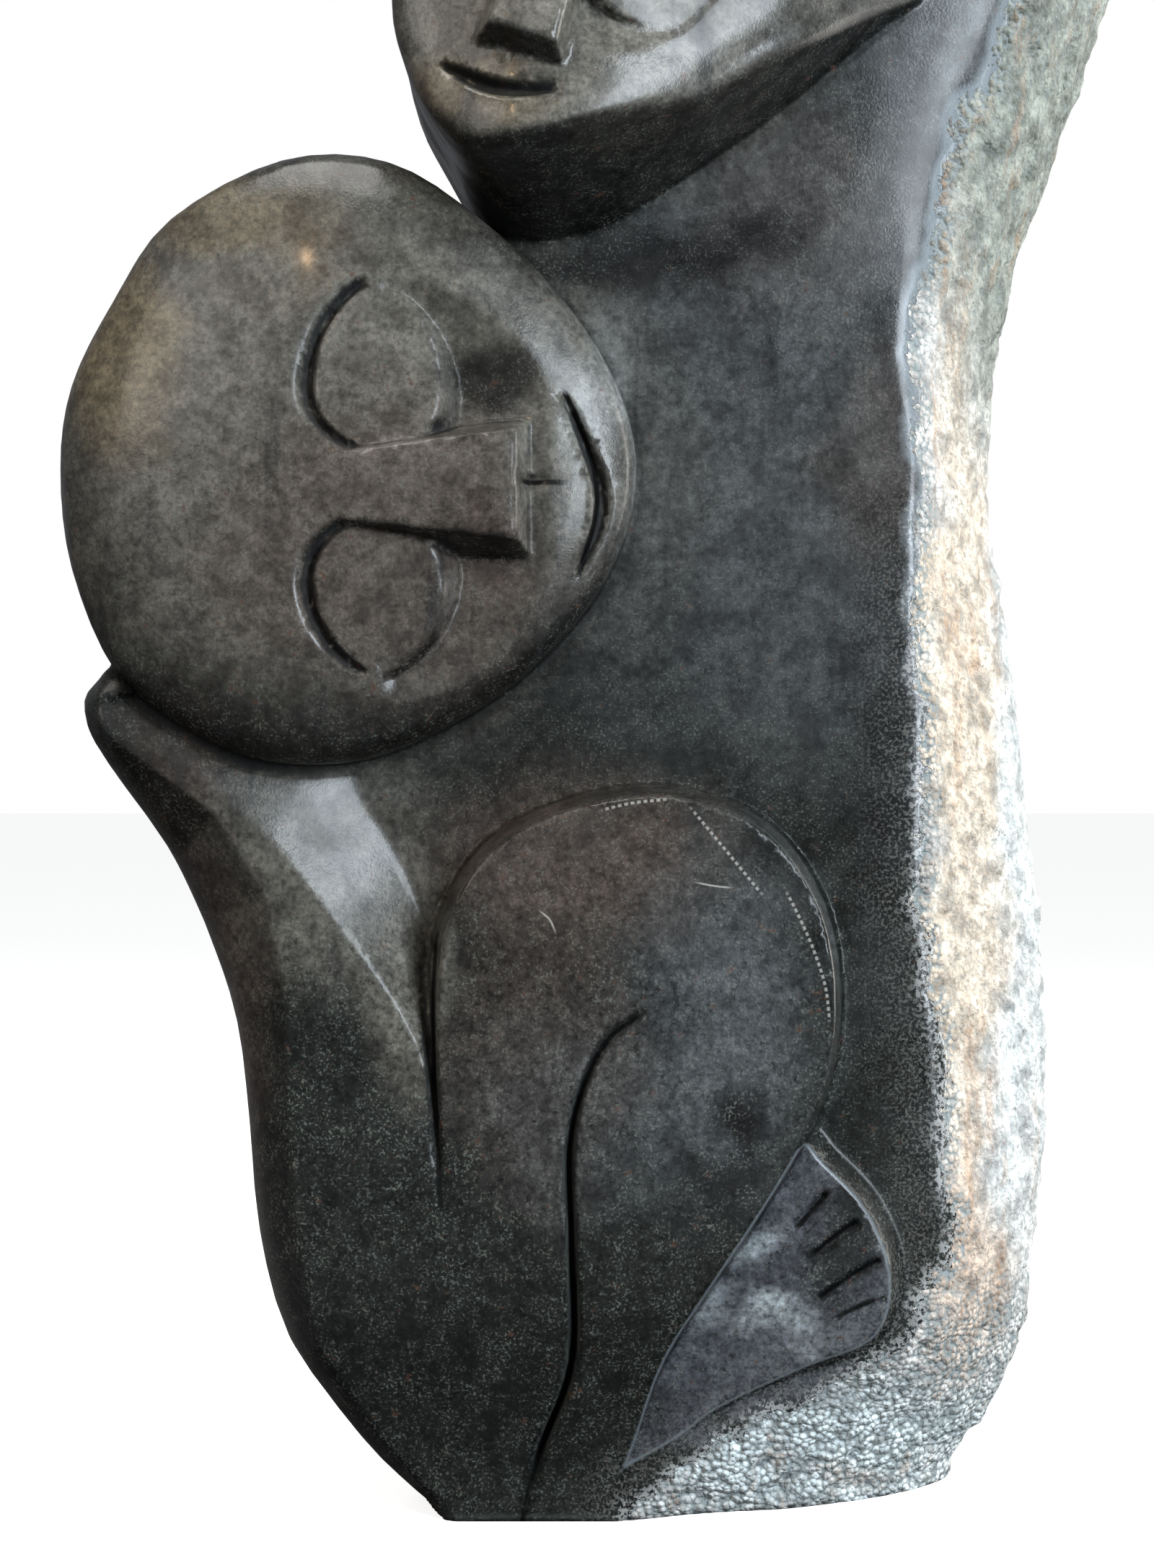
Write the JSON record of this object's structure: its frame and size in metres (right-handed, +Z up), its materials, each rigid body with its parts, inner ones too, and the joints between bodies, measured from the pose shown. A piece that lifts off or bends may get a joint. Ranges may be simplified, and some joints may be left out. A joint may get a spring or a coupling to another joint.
{
  "type": "carved stone figure group",
  "caption": "Free-standing stone carving of a mother whose bent arm holds her child's round face, polished in front and left rough at the side and back.",
  "frame": {"origin": "in the sawn flat underside, near the middle of the stone's width", "axes": "+Z up the figure, -Y the way the carved front faces, +X to the viewer's right"},
  "size_m": [0.5743, 0.309, 1.0011],
  "materials": {
    "stone": "dark green-black polished stone with pale rough skin"
  },
  "bodies": {
    "root": {"mother_and_child": "stone"}
  },
  "joints": []
}
